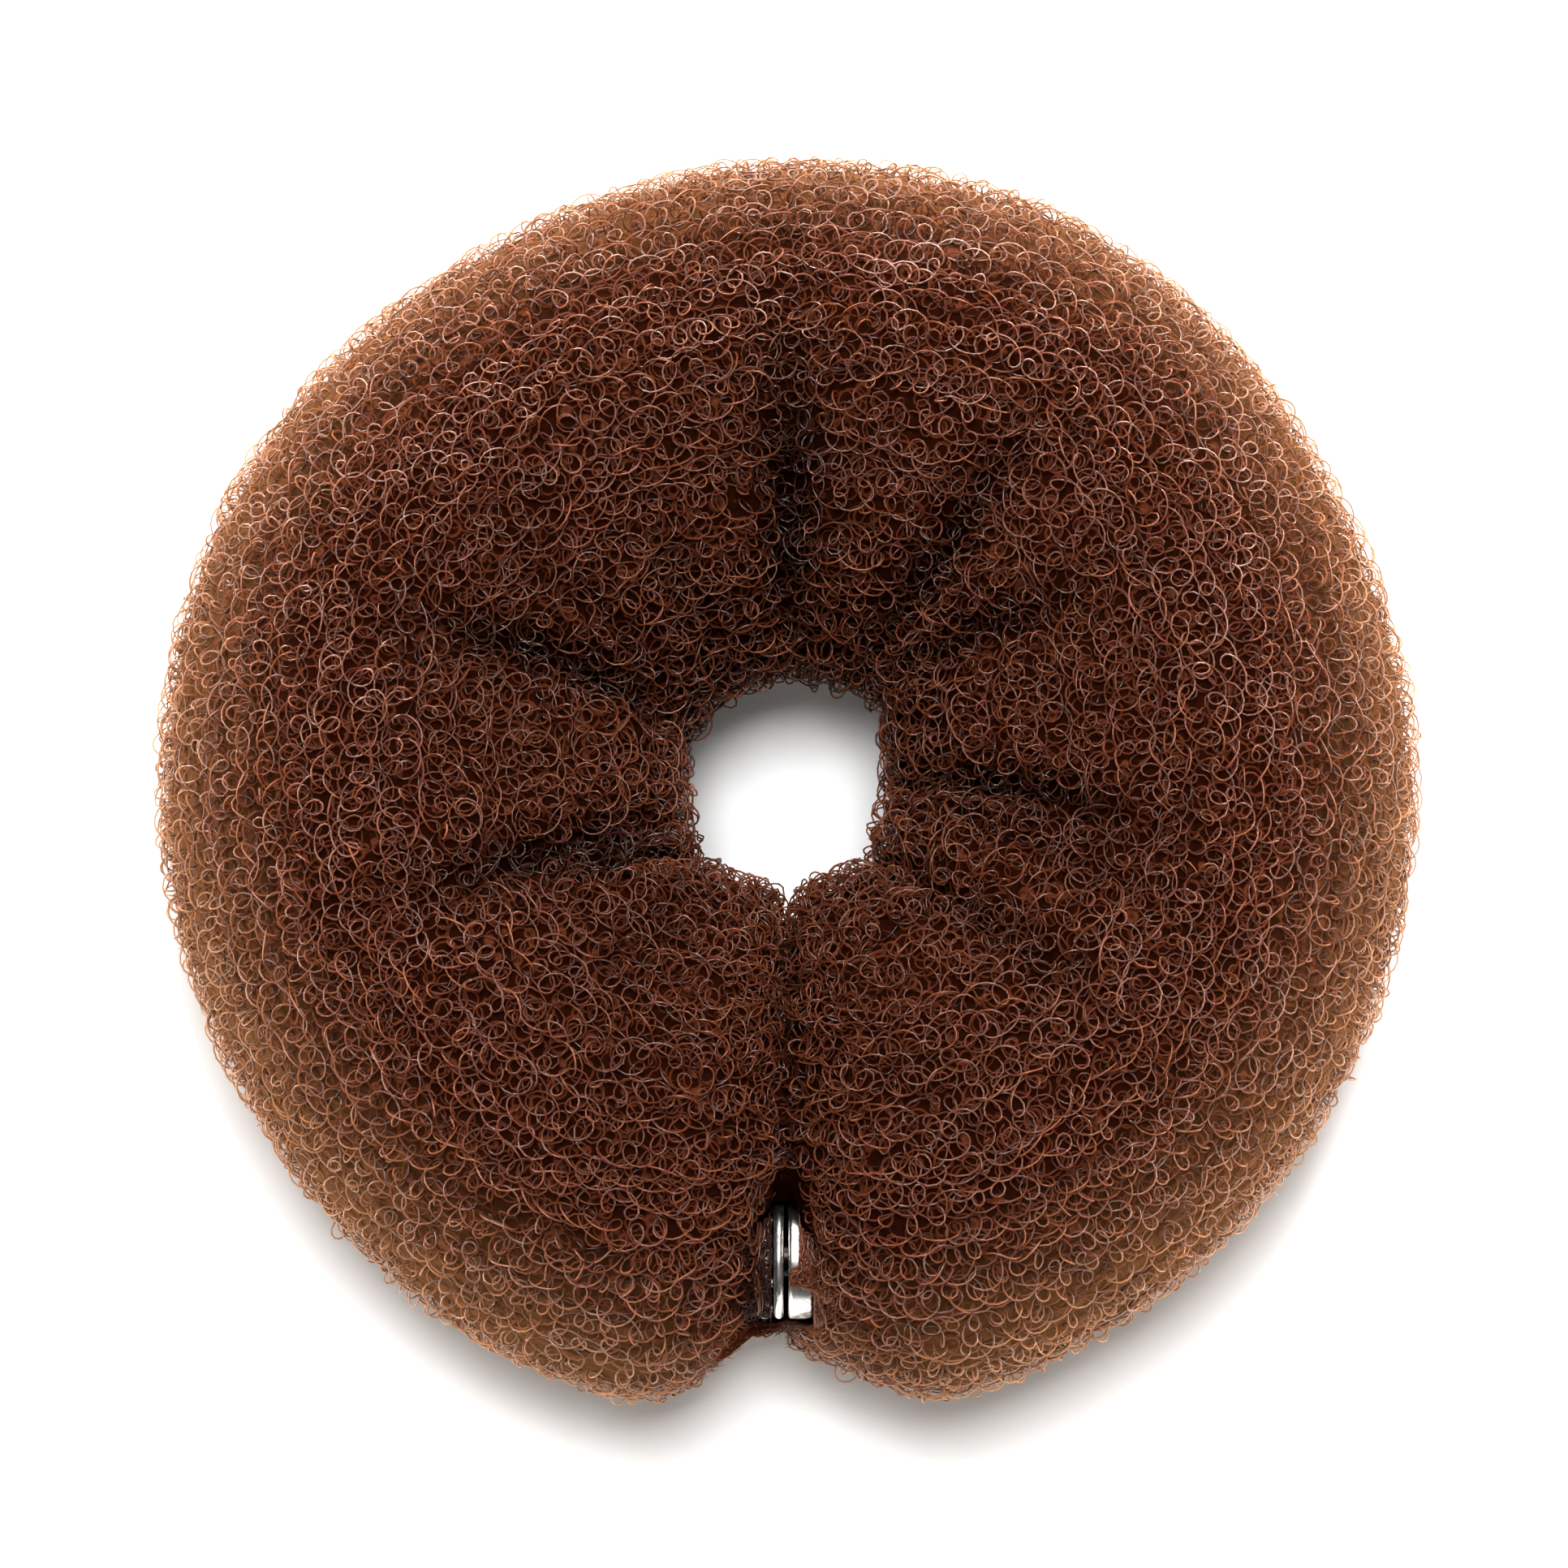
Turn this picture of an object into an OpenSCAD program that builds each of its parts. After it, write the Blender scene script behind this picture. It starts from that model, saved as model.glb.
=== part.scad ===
/* [Ring] */
// Width of the ring from side to side
ring_w = 100; // [85:1:130]
// Height of the roll as it lies on a table
ring_h = 38; // [30:1:46]
// Width of the hole that the ponytail passes through
hole_w = 15; // [12:0.5:22]
// How far the underside is pressed flat by what it lies on
base_press = 0.8; // [0.4:0.1:2]
// Fullness of the roll's section, 2 for an ellipse and more for a squarer one
roll_fullness = 2.1; // [2:0.1:2.8]

/* [Seam] */
// Gap between the two ends of the roll where they meet
seam_gap = 0.4; // [0.2:0.1:1]
// Depth of the notch that the rounded ends leave in the ring's outline
notch_depth = 9.5; // [4:0.5:10]
// Depth of the crease that they leave across the top
crease_depth = 6; // [2:0.5:8]
// Depth of the crease that they leave across the underside
base_crease_depth = 3; // [1:0.5:5]
// Depth of the nick that they leave in the hole's edge
hole_nick_depth = 1.2; // [0.4:0.2:2.4]
// Turn about the hole over which each end rounds off, in degrees
end_turn = 16; // [12:1:24]

/* [Gathers] */
// Depth of the deepest gather that runs out from the hole
gather_depth = 3.4; // [0.5:0.1:4]

/* [Snap] */
// Diameter of the snap fastener and its backing rings
snap_w = 9.5; // [8:0.1:11]
// How far the snap shows in the notch, past the ends of the roll
snap_peek = 1.5; // [0:0.1:2]
// Height of the snap's centre above the middle of the roll
snap_rise = 3; // [0:0.5:5]
// Thickness of the stud's rolled rim
stud_rim_t = 0.8; // [0.6:0.05:1.2]
// Thickness of the stud's disc inside its rim
stud_web_t = 0.45; // [0.3:0.05:0.55]
// Diameter of the stud's head
stud_head_w = 3.8; // [3:0.1:4.4]
// Diameter of the neck behind the stud's head
stud_neck_w = 3.2; // [2.4:0.1:3.6]
// Length of the stud's post past its rim
stud_post_l = 1.5; // [1.2:0.05:1.6]
// Thickness of the socket's drum
socket_t = 2.05; // [1.95:0.05:2.6]
// Radius of the drum's polished edges
socket_round = 0.35; // [0.2:0.05:0.5]
// Thickness of the plate behind the socket's recess
socket_back_t = 0.3; // [0.2:0.05:0.4]
// Thickness of each backing ring
backing_t = 0.7; // [0.5:0.05:1]
// Width of a backing ring's metal, from its bore to its rim
backing_band = 1.5; // [1:0.1:2]
// Number of prongs on each backing ring
prong_count = 5; // [4:1:6]
// Diameter of a prong
prong_w = 0.7; // [0.5:0.05:0.9]
// Distance over which the roll's ends close round the snap
slot_blend = 2.5; // [1:0.5:4]

/* [Clearances] */
// Gap between the closed halves of the snap
snap_gap = 0.3; // [0.2:0.05:0.5]
// Gap between the stud's head and the wall of the socket's recess
head_clear = 0.2; // [0.1:0.05:0.3]
// Space for the mesh pinched between each half of the snap and its backing ring
pinch_gap = 0.4; // [0.3:0.05:0.6]
// Gap between the tip of a prong and the half of the snap that it holds
prong_clear = 0.1; // [0.1:0.05:0.2]
// Gap between the snap and the pocket that it sits in
pocket_clear = 0.3; // [0.2:0.05:0.6]

/* [Hidden] */

MESH_BROWN = [0.33, 0.18, 0.13];
NICKEL = [0.78, 0.76, 0.72];

// Form of the ring by turn about the hole, counted from the seam towards the right.
// Columns: turn in degrees, outer radius as a share of half ring_w,
// hole radius as a share of half hole_w, height as a share of ring_h.
SECTIONS = [
    [0, 1.003, 0.93, 0.97],
    [30, 0.994, 0.91, 1.00],
    [60, 0.992, 0.88, 0.99],
    [90, 0.998, 0.84, 0.97],
    [120, 1.004, 1.01, 0.98],
    [150, 1.033, 1.18, 1.00],
    [180, 1.028, 1.13, 0.98],
    [210, 1.008, 1.10, 0.99],
    [240, 1.014, 1.00, 0.97],
    [270, 0.998, 0.92, 0.98],
    [300, 0.986, 0.90, 1.00],
    [330, 0.999, 0.95, 0.99],
    [360, 1.003, 0.93, 0.97]
];
OUTER_COLUMN = 1;
INNER_COLUMN = 2;
HEIGHT_COLUMN = 3;
SECTION_TURN = 30;

// Gathers that run out from the hole. Columns: turn at the hole in degrees,
// drift in degrees over the roll's whole thickness, half width in degrees,
// depth as a share of gather_depth, reach as a share of the roll's thickness,
// and what is left of the depth at the hole's waist, as a share of it.
GATHERS = [
    [46, 8, 9, 0.75, 0.60, 0.9],
    [75, -16, 8, 0.40, 0.65, 0.2],
    [87, -20, 9, 1.00, 0.62, 0.2],
    [133, -40, 8, 0.70, 0.45, 0.6],
    [143, 2, 9, 0.95, 0.65, 0.3],
    [180, 0, 10, 1.00, 0.90, 0.2],
    [211, 0, 9, 0.45, 0.40, 0.2],
    [230, 8, 8, 0.35, 0.50, 0.2],
    [242, 17, 10, 1.00, 0.75, 0.3],
    [293, -2, 10, 1.00, 0.75, 0.4],
    [311, -70, 8, 1.15, 0.35, 1.0]
];
TURN_COLUMN = 0;
DRIFT_COLUMN = 1;
WIDTH_COLUMN = 2;
DEPTH_COLUMN = 3;
REACH_COLUMN = 4;
WAIST_COLUMN = 5;

// Each gather spreads by this many degrees more where it enters the hole, and has its whole
// depth from this share of the roll's thickness outwards.
SPREAD_TURN = 5;
WAIST_BAND = 0.12;

// The ends of the roll need closer sections than the rest of it. Their faces have rings of
// points, at these shares of the way from the snap's centre to the outline.
END_TURNS = [0, 0.8, 1.8, 3, 4.5, 6.5, 9];
TURN_STEP = 3;
TURNS = concat(
    END_TURNS,
    [for (t = [12 : TURN_STEP : 348]) t],
    [for (i = [len(END_TURNS) - 1 : -1 : 0]) 360 - END_TURNS[i]]
);
SIDES = 36;
FACE_RINGS = [0.75, 0.5, 0.25];
END_POWER = 1.8;

snap_r = snap_w / 2;
snap_out = ring_w / 2 - notch_depth - snap_r + snap_peek;
snap_z = ring_h / 2 + snap_rise;

// Cuts run this far past the faces that they open.
CUT_PAST = 1;

// Stack of the snap along the seam's normal, from the plane where the ends meet.
stud_back_x = -snap_gap - stud_rim_t;
stud_ring_x = stud_back_x - pinch_gap;
socket_ring_x = socket_t + pinch_gap;

// Pocket for the snap in each end of the roll.
pocket_r = snap_r + pocket_clear;
stud_pocket_x = stud_ring_x - backing_t - pocket_clear;
socket_pocket_x = socket_ring_x + backing_t + pocket_clear;

// The slot above the snap leans outwards, and shows more of it on the stud's side.
SLOT_LEAN = 70;
stud_slot_depth = backing_t - stud_ring_x;
socket_slot_depth = socket_t / 2;

function clamp01(x) = min(1, max(0, x));
function squared(x) = x * x;
function smooth(x) = x * x * (3 - 2 * x);
function lobe(x) = sign(x) * pow(abs(x), 2 / roll_fullness);
function curve(a, b, c, d, f) =
    b + f / 2 * (c - a + f * (2 * a - 5 * b + 4 * c - d + f * (3 * (b - c) + d - a)));

// Share in one column of SECTIONS, on a smooth curve through its rows.
function share(turn, column) =
    let (rows = len(SECTIONS) - 1)
    let (row = floor(turn / SECTION_TURN))
    let (picked = [for (k = [-1 : 2]) SECTIONS[(row + k + rows) % rows][column]])
    curve(picked[0], picked[1], picked[2], picked[3], turn / SECTION_TURN - row);

// How far one gather draws the surface in, from its middle to its edges and its end.
function gather(row, turn, from_hole) =
    let (half_width = row[WIDTH_COLUMN] + SPREAD_TURN * pow(1 - from_hole, 3))
    let (off = (turn - row[TURN_COLUMN] - row[DRIFT_COLUMN] * from_hole) / half_width)
    let (left = clamp01(1 - from_hole / row[REACH_COLUMN]))
    let (back = smooth(clamp01(from_hole / WAIST_BAND)))
    let (kept = row[WAIST_COLUMN] + (1 - row[WAIST_COLUMN]) * back)
    gather_depth * row[DEPTH_COLUMN] * squared(max(0, 1 - abs(off))) * left * (2 - left) * kept;
function gathers(turn, from_hole) =
    max([for (row = GATHERS) gather(row, turn, from_hole)]);

// How far the rounding of the ends draws the surface in, by the side that it faces.
function end_draw(around) =
    notch_depth * squared(max(0, cos(around)))
    + hole_nick_depth * squared(min(0, cos(around)))
    + crease_depth * squared(max(0, sin(around)))
    + base_crease_depth * squared(min(0, sin(around)));
function end_share(turn) =
    pow(clamp01(1 - min(turn, 360 - turn) / end_turn), END_POWER);

// Point of the roll's surface in its section: distance from the hole's axis, height.
function section_point(turn, around) =
    let (outer = ring_w / 2 * share(turn, OUTER_COLUMN))
    let (inner = hole_w / 2 * share(turn, INNER_COLUMN))
    let (top = ring_h * share(turn, HEIGHT_COLUMN))
    let (middle = [(outer + inner) / 2, (top - base_press) / 2])
    let (arm = [(outer - inner) / 2 * lobe(cos(around)), (top + base_press) / 2 * lobe(sin(around))])
    let (from_hole = (1 + lobe(cos(around))) / 2)
    let (drawn = end_draw(around) * end_share(turn) + gathers(turn, from_hole))
    let (p = middle + arm * (1 - drawn / norm(arm)))
    [p[0], max(0, p[1])];

// How far the end face lies back from the seam, in the slot above the snap.
function slot_distance(p) =
    let (off = p - [snap_out, snap_z])
    let (along = off * [cos(SLOT_LEAN), sin(SLOT_LEAN)])
    along > 0 ? abs(off * [sin(SLOT_LEAN), -cos(SLOT_LEAN)]) : norm(off);
function slot_depth(p, turn) =
    (turn < 180 ? socket_slot_depth : -stud_slot_depth)
    * squared(clamp01(1 + (snap_r - slot_distance(p)) / slot_blend));

// Point of a section placed in the ring. The seam's gap closes towards the back.
function placed(p, turn) =
    let (near_end = clamp01(1 - min(turn, 360 - turn) / end_turn))
    let (shift = seam_gap / 2 * cos(turn / 2) + slot_depth(p, turn) * near_end)
    [p[0] * sin(turn) + shift, -p[0] * cos(turn), p[1]];

// Points of an end face, ring by ring towards the snap's centre, which comes last.
function face_points(turn) =
    let (snap = [snap_out, snap_z])
    concat(
        [
            for (share = FACE_RINGS)
                for (k = [0 : SIDES - 1])
                    snap + (section_point(turn, k * 360 / SIDES) - snap) * share
        ],
        [snap]
    );

// The roll before the snap's pocket is cut, as one closed skin of sections and end faces.
module roll_body() {
    last = len(TURNS) - 1;
    first_face = len(TURNS) * SIDES;
    last_face = first_face + len(FACE_RINGS) * SIDES + 1;
    points = concat(
        [for (turn = TURNS) for (k = [0 : SIDES - 1]) placed(section_point(turn, k * 360 / SIDES), turn)],
        [for (turn = [0, 360]) for (p = face_points(turn)) placed(p, turn)]
    );
    faces = concat(
        [for (s = [0 : last - 1]) for (face = band(s * SIDES, (s + 1) * SIDES)) face],
        [for (face = end_face(0, first_face)) [face[0], face[2], face[1]]],
        end_face(last * SIDES, last_face)
    );
    polyhedron(points = points, faces = faces, convexity = 8);
}

// Triangles between two rings of points, named by the first point of each.
function band(from, to) =
    [
        for (k = [0 : SIDES - 1])
            let (n = (k + 1) % SIDES)
            for (face = [[from + k, from + n, to + n], [from + k, to + n, to + k]])
                face
    ];

// Triangles of an end face, from the roll's outline to the middle point.
function end_face(outline, start) =
    let (rings = concat([outline], [for (r = [0 : len(FACE_RINGS) - 1]) start + r * SIDES]))
    let (inmost = rings[len(FACE_RINGS)])
    concat(
        [for (r = [0 : len(FACE_RINGS) - 1]) for (face = band(rings[r], rings[r + 1])) face],
        [for (k = [0 : SIDES - 1]) [inmost + k, inmost + (k + 1) % SIDES, inmost + SIDES]]
    );

module mesh_roll() {
    color(MESH_BROWN)
        difference() {
            roll_body();
            on_snap_axis(stud_pocket_x)
                cylinder(r = pocket_r, h = socket_pocket_x - stud_pocket_x, $fn = 96);
        }
}

// Puts a piece that is modelled along its own axis on the snap's axis, at x.
module on_snap_axis(x) {
    translate([x, -snap_out, snap_z])
        rotate([0, 90, 0])
            children();
}

// Round plate with a rolled edge, from low to high along its axis.
module rolled_plate(radius, low, high, edge) {
    rotate_extrude($fn = 96)
        union() {
            translate([0, low])
                square([radius - edge, high - low]);
            translate([0, low + edge])
                square([radius, high - low - 2 * edge]);
            for (level = [low + edge, high - edge])
                translate([radius - edge, level])
                    circle(r = edge, $fn = 32);
        }
}

module snap_stud() {
    rim = stud_rim_t / 2;
    head_l = stud_post_l / 2;
    color(NICKEL)
        on_snap_axis(stud_back_x) {
            rotate_extrude($fn = 96)
                translate([snap_r - rim, rim])
                    circle(r = rim, $fn = 32);
            translate([0, 0, rim - stud_web_t / 2])
                cylinder(r = snap_r - rim, h = stud_web_t, $fn = 96);
            cylinder(d = stud_neck_w, h = stud_rim_t + stud_post_l, $fn = 48);
            translate([0, 0, stud_rim_t + stud_post_l - head_l])
                rolled_plate(stud_head_w / 2, 0, head_l, head_l / 3);
        }
}

module snap_socket() {
    recess_r = stud_head_w / 2 + head_clear;
    color(NICKEL)
        on_snap_axis(0)
            difference() {
                rolled_plate(snap_r, 0, socket_t, socket_round);
                translate([0, 0, -CUT_PAST])
                    cylinder(r = recess_r, h = socket_t - socket_back_t + CUT_PAST, $fn = 48);
            }
}

// Backing ring with prongs that reach through the mesh, towards high or low x.
module backing_ring(x, towards) {
    ring_mid_r = snap_r - backing_band / 2;
    prong_l = pinch_gap - prong_clear;
    color(NICKEL)
        on_snap_axis(x) {
            difference() {
                rolled_plate(snap_r, 0, backing_t, backing_t / 4);
                translate([0, 0, -CUT_PAST])
                    cylinder(r = snap_r - backing_band, h = backing_t + 2 * CUT_PAST, $fn = 96);
            }
            for (k = [0 : prong_count - 1])
                rotate(k * 360 / prong_count)
                    translate([ring_mid_r, 0, towards > 0 ? backing_t / 2 : -prong_l])
                        cylinder(d = prong_w, h = prong_l + backing_t / 2, $fn = 24);
        }
}

module stud_backing_ring() {
    backing_ring(stud_ring_x - backing_t, 1);
}

module socket_backing_ring() {
    backing_ring(socket_ring_x, -1);
}

mesh_roll();
snap_stud();
stud_backing_ring();
snap_socket();
socket_backing_ring();
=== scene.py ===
import math

import bmesh
import bpy
import numpy as np
from mathutils import Matrix, Vector
from mathutils.bvhtree import BVHTree


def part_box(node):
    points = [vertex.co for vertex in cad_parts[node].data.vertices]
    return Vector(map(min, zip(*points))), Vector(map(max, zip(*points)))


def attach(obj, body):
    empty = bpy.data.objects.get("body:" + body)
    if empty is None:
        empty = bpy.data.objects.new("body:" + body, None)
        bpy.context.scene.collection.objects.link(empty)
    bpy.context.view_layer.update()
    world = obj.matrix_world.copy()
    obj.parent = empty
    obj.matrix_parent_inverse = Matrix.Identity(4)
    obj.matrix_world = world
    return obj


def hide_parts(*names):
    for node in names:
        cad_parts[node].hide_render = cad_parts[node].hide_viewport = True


# Lengths are in metres and angles in radians, unless a name or comment says otherwise.
MM = 0.001
SEED = 20

# The camera looks at a point at half the roll's height, with these x and y.
CAMERA_ELEVATION = math.radians(79)
CAMERA_DISTANCE = 0.514
CAMERA_AIM = (-0.0003, 0.0005)
CAMERA_CLIP = (0.01, 20.0)
LENS_MM = 150.0
SENSOR_MM = 36.0

FLOOR_HALF = 3.0
FLOOR_COLOUR = (0.86, 0.86, 0.86)
FLOOR_ROUGHNESS = 0.9
FLOOR_GLOSS = 0.1
WORLD_STRENGTH = 0.08
WHITE = (1.0, 1.0, 1.0)
WARM = (1.0, 0.94, 0.87)
SOFT_BOX = (0.3, 0.3)
# The strips stand low round the ring, light up its rim and give no glints.
STRIP = (0.8, 0.04)
STRIP_Z = 0.024
# Columns: name, place, size, power in watts, colour, whether it gives glints.
LIGHTS = [
    ("overhead", (-0.02, 0.06, 1.0), SOFT_BOX, 12, WHITE, True),
    ("back", (0.0, 0.6, STRIP_Z), STRIP, 27, WARM, False),
    ("left", (-0.6, 0.0, STRIP_Z), STRIP, 13.5, WARM, False),
    ("right", (0.6, 0.0, STRIP_Z), STRIP, 13.5, WARM, False),
    ("front", (0.0, -0.6, STRIP_Z), STRIP, 3, WARM, False),
    ("key", (0.1, 0.5, 0.65), SOFT_BOX, 8.5, WHITE, True),
]

# The roll's form is read off its solid on a grid: turns about the hole, by places round the section.
TURN_CELLS = 360
ROUND_CELLS = 144
# Half the roll's height, and a distance that lies outside it.
MID_Z = 19 * MM
FAR = 200 * MM
# The ends of the roll round off over END_TURN of turn, by this power of the way that is left. Closer
# to the seam than READ_TURN the solid is open for the snap. The sections at the seam lie SECTION_SHIFT
# from it.
END_TURN = math.radians(16)
END_POWER = 1.8
READ_TURN = math.radians(7)
SECTION_SHIFT = 0.22 * MM
# A crease is where the surface lies below its neighbours within this much turn, and the painted shade
# in it is at its darkest this far below them. Painted crease shade fades between two distances from
# the hole's axis. Painted shade darkens the seam over SEAM_WIDTH on each side.
CREASE_TURN = math.radians(12)
CREASE_DEPTH = 2.2 * MM
CREASE_FADE = (25 * MM, 40 * MM)
SEAM_WIDTH = 1.3 * MM
# Painted rim light lies on the outer flank, which begins where the normal points this far outwards,
# and is whole where it points outwards this much.
FLANK_FROM = 0.3
FLANK_TO = 1.0

# The core lies this deep under the solid's surface, and less deep on the outer flank.
CORE_DEPTH = 2.1 * MM
CORE_FLANK_DEPTH = 1.3 * MM
CORE_TURNS = 240
CORE_ROUND = 72
# The core is the deeper mesh, its brown darkened as painted shade; it is darker still in creases and
# lighter on the outer flank as painted rim light.
CORE_DEEP_SHADE = (0.012, 0.0025, 0.001)
CORE_RIM_LIGHT = (0.085, 0.037, 0.015)
CORE_CREASE_SHADE = (0.004, 0.0008, 0.0003)
# Paler arcs on the core stand for deeper strands, dimmed as painted shade, as rings about scattered
# points. Their radius and width are shares of the points' spacing.
CORE_ARC = (0.085, 0.022, 0.009)
CORE_ARC_SCALES = (430, 600)
CORE_ARC_RADIUS = 0.42
CORE_ARC_WIDTH = 0.05
CORE_BUMP_STRENGTH = 0.8
CORE_BUMP_DISTANCE = 0.6 * MM

# The slot above the snap leans outwards. It is open this far on the stud's and the socket's side.
SLOT_LEAN = math.radians(70)
SLOT_SIDES = (-1.25 * MM, 0.85 * MM)
SLOT_BLEND = 0.3 * MM
SLOT_LENGTH = 22 * MM
SNAP_CLEAR = 0.3 * MM
# How far the mesh leaves the socket's drum bare in x, by the distance outwards across the slot: some
# of it on the hole's side, next to nothing where strands pull across it, and all of it further out.
BARE_OUT = np.array([-0.4, -0.1, 1.1, 1.4]) * MM
BARE_X = np.array([0.85, 0.1, 0.1, 2.0]) * MM
# The slot narrows to the seam over SLOT_TAPER towards the hole. Loops within SQUEEZE of the seam are
# pressed together beside it, and those that reach past the seam by OVERSHOOT end at its wall.
SLOT_TAPER = 3.2 * MM
SQUEEZE = 3.0 * MM
OVERSHOOT = 1.0 * MM
# Mesh drawn over the backing rings lies in a layer of this thickness on them.
DRAPE_LAYER = 0.7 * MM
# Painted shade in the pocket beside the stud: its width in x, by the distance outwards from the snap's
# axis.
POCKET_SHADE_OUT = np.array([-8, -5, 4.75]) * MM
POCKET_SHADE_WIDTH = np.array([0.8, 4.5, 2.0]) * MM
POCKET_SIDES = 48
# The notch reaches in as far as the stud's disc, over this stretch of x. Outwards from there it
# widens on the stud's side, for strands by BITE_SPREAD of the way out, and for the core by a square
# block of side FLARE that is turned by 45 degrees.
BITE_X = (-2.8 * MM, -0.05 * MM)
BITE_CLEAR = 0.15 * MM
BITE_HEIGHT = 3 * SLOT_LENGTH
BITE_SPREAD = 1.0
FLARE = 5 * MM

# Looped strands follow the surface in rows, and each row wanders over this many knots. Where the
# normal points down by more than UNDERSIDE_NORMAL, loops are UNDERSIDE_SPREAD times as far apart.
ROW_SAMPLES = 720
WANDER_KNOTS = 24
UNDERSIDE_NORMAL = -0.5
UNDERSIDE_SPREAD = 1.6
# A point within SLACK of the slot's wall doesn't count as past it. None lies lower than FLOOR_LIFT.
SLACK = 0.01 * MM
FLOOR_LIFT = 0.1 * MM
PIECE_TRIANGLES = 190_000
# Loops on a slope turn their faces up: how soon they do, and how far each one wobbles off that.
TURN_UP = 2.5
WOBBLE = (-1.0, 1.0)
# A loop's second radius, as a share of its first.
OVAL = (0.85, 1.1)
# Strands in a crease are this share of their darkest colour, as painted shade. Towards BURIED deep
# under the surface they fade to a dark painted shade colour.
CREASE_SHADE = 0.18
BURIED = 1.9 * MM
BURIED_SHADE = (0.05, 0.011, 0.005)
# The strands' colour drifts from dark to light between these two levels of a fine noise.
STRAND_NOISE_SCALE = 700
STRAND_NOISE_DETAIL = 2
STRAND_NOISE_LEVELS = (0.3, 0.7)
# Rows round the ring, how far each one wanders as a share of the way round the section, points in a
# loop, corners of the wire as degrees from outwards, and the wire's radius. Then, from and to: the
# depth under the surface, the step from loop to loop, a loop's radius, how far it veers and how far
# it tilts. A loop also strays sideways by up to stray. Last come the rows pinched round the snap,
# with the first and last one's x and their number, whether loops hang in the notch, and the look.
LAYERS = [
    {
        "name": "middle_loops",
        "rows": 78,
        "wander": 0.4 / 78,
        "points": 11,
        "columns": (-110, 0, 110),
        "wire": 0.08 * MM,
        "depth": (1.25 * MM, 1.65 * MM),
        "advance": (1.6 * MM, 2.2 * MM),
        "radius": (0.85 * MM, 1.2 * MM),
        "stray": 0.75 * MM,
        "veer": (-1.2, 1.2),
        "tilt": (0.2, 1.0),
        "collars": (-3.3 * MM, -1.4 * MM, 13),
        "hanging": False,
        # The middle loops are a darker copy of the surface strands, as painted shade deep in the roll.
        "look": {
            "name": "middle_strands_in_shade",
            "dark": (0.08, 0.018, 0.007),
            "light": (0.135, 0.033, 0.012),
            # Painted rim light: the flank's lighter colour stands in for light shining through the rim.
            "flank": (0.28, 0.127, 0.056),
            "see_through": 0,
            "gloss": 0.15,
            "roughness": 0.45,
        },
    },
    {
        "name": "surface_loops",
        "rows": 80,
        "wander": 0.4 / 80,
        "points": 13,
        "columns": (-60, 60, 180),
        "wire": 0.083 * MM,
        "depth": (0.92 * MM, 1.18 * MM),
        "advance": (1.6 * MM, 2.2 * MM),
        "radius": (0.85 * MM, 1.15 * MM),
        "stray": 0.75 * MM,
        "veer": (-1.1, 1.1),
        "tilt": (0.5, 1.2),
        "collars": (0.2 * MM, 3.7 * MM, 27),
        "hanging": True,
        "look": {
            "name": "surface_strands",
            "dark": (0.165, 0.041, 0.014),
            "light": (0.32, 0.088, 0.03),
            # Painted rim light: the flank's lighter colour stands in for light shining through the rim.
            "flank": (0.47, 0.218, 0.096),
            "see_through": 0.45,
            "gloss": 0.5,
            "roughness": 0.3,
        },
    },
]
# Mesh pinched round the snap, in rows round its axis. It lies on a skin COLLAR_REACH outside the snap.
# Its wander is a length in x. It gets this much painted shade, as in a crease, on the stud's and the
# socket's side.
# Where it would cover the part of the snap that shows, it springs back from the edge of that part by
# this share of the way.
COLLAR = {
    "points": 12,
    "columns": (-60, 60, 180),
    "wire": 0.08 * MM,
    "wander": 0.2 * MM,
    "depth": (0.25 * MM, 0.6 * MM),
    "advance": (1.2 * MM, 1.8 * MM),
    "radius": (0.5 * MM, 0.8 * MM),
    "stray": 0.15 * MM,
    "veer": (-0.8, 0.8),
    "tilt": (-0.3, 0.3),
}
COLLAR_REACH = 0.9 * MM
COLLAR_CREASE_SHADES = (1, 0.15)
COLLAR_SPRING = 0.4
# Loops that hang loose into the notch, with a collar's wire. Columns, in mm: x, distance out from the
# hole's axis, height, radius. Each lies about level, tipped at random with this spread in x, y and z.
# The shade says how creased, how far on the flank and how buried they count as, for painted shade
# and painted rim light.
HANGING = np.array(
    [
        [-2.1, 43.1, 15, 1.35],
        [-3.0, 42.9, 16, 1.0],
        [-4.3, 43.9, 14, 1.15],
        [-5.2, 44.6, 15, 0.95],
        [0.9, 42.9, 16, 0.9],
        [1.6, 42.6, 17, 1.1],
        [2.2, 43.4, 14, 1.05],
        [3.2, 43.9, 15, 1.15],
        [4.1, 44.3, 16, 0.9],
        [4.7, 45.0, 14, 1.1],
    ]
)
HANGING_POINTS = 16
HANGING_TIP = (0.2, 0.2, 0.5)
HANGING_SHADE = (0, 0.6, 0.1)

# Nickel finishes: colour and roughness. Roughness varies between two shares of it with a fine noise.
NICKEL = {
    "snap_metal": ((0.86, 0.83, 0.77), 0.2),
    "snap_disc": ((0.92, 0.9, 0.87), 0.24),
    # The backing rings' nickel is darker, as painted shade from the mesh over them.
    "backing_metal": ((0.5, 0.47, 0.43), 0.38),
}
SNAP_FINISHES = {
    "snap_stud": "snap_disc",
    "snap_socket": "snap_metal",
    "stud_backing_ring": "backing_metal",
    "socket_backing_ring": "backing_metal",
}
POLISH = (0.7, 1.6)
POLISH_NOISE_SCALE = 900
# The gap between the snap's halves, from the plane where the ends meet towards the stud. Metal has
# its own colour from GAP_SPREAD times half the gap away from the gap's middle, and closer than GAP_EDGE
# of that it is painted dark as shade in the gap.
SNAP_GAP = 0.3 * MM
GAP_SPREAD = 1.3
GAP_EDGE = 0.85
GAP_SHADE = (0.02, 0.017, 0.014)


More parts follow.
